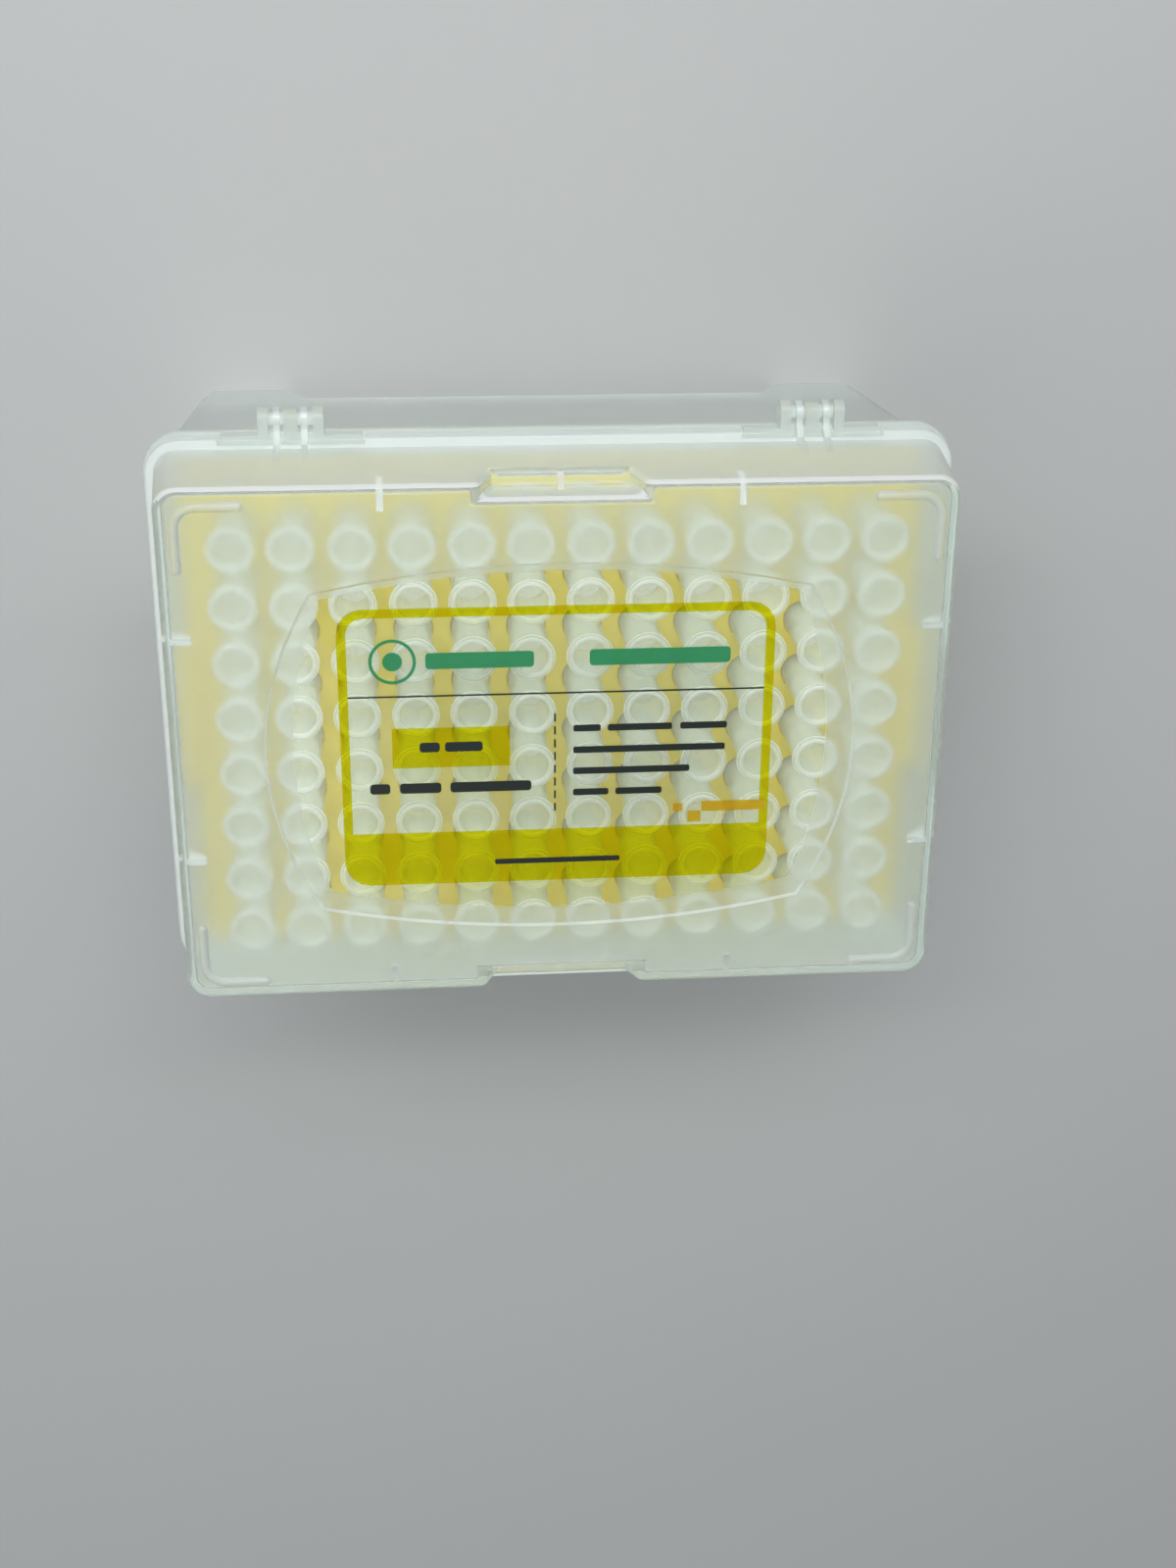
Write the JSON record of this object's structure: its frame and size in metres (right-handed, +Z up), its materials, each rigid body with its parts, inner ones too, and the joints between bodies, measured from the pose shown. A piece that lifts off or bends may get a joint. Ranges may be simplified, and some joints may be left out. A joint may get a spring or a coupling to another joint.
{
  "type": "box of pipette tips",
  "caption": "Hinged translucent rack box holding a grid of filter pipette tips in a yellow deck, with a clear window and printed label in its lid.",
  "frame": {"origin": "on the surface the box stands on, under the middle of the tip grid", "axes": "+Z up through the lid, +X along the long side, +Y towards the hinge, so the box opens at -Y"},
  "size_m": [0.1266, 0.0986, 0.0698],
  "materials": {
    "base_plastic": "frosted translucent polypropylene, moulded",
    "deck_plastic": "yellow polypropylene, moulded, satin",
    "lid_plastic": "frosted translucent polypropylene with a polished window",
    "label_film": "clear printed film",
    "tip_plastic": "natural translucent polypropylene, moulded",
    "filter_plug": "porous polyethylene"
  },
  "bodies": {
    "box": {"base": "base_plastic", "deck": "deck_plastic", "tips_column_01": "tip_plastic", "tips_column_02": "tip_plastic", "tips_column_03": "tip_plastic", "tips_column_04": "tip_plastic", "tips_column_05": "tip_plastic", "tips_column_06": "tip_plastic", "tips_column_07": "tip_plastic", "tips_column_08": "tip_plastic", "tips_column_09": "tip_plastic", "tips_column_10": "tip_plastic", "tips_column_11": "tip_plastic", "tips_column_12": "tip_plastic", "filters_column_01": "filter_plug", "filters_column_02": "filter_plug", "filters_column_03": "filter_plug", "filters_column_04": "filter_plug", "filters_column_05": "filter_plug", "filters_column_06": "filter_plug", "filters_column_07": "filter_plug", "filters_column_08": "filter_plug", "filters_column_09": "filter_plug", "filters_column_10": "filter_plug", "filters_column_11": "filter_plug", "filters_column_12": "filter_plug"},
    "lid": {"lid": "lid_plastic", "label": "label_film"}
  },
  "joints": [
    {"name": "lid_hinge", "type": "hinge", "parent": "box", "child": "lid", "pos_m": [0, 0.0474, 0.0495], "axis": [-1, 0, 0], "range_deg": [0, 110]}
  ]
}
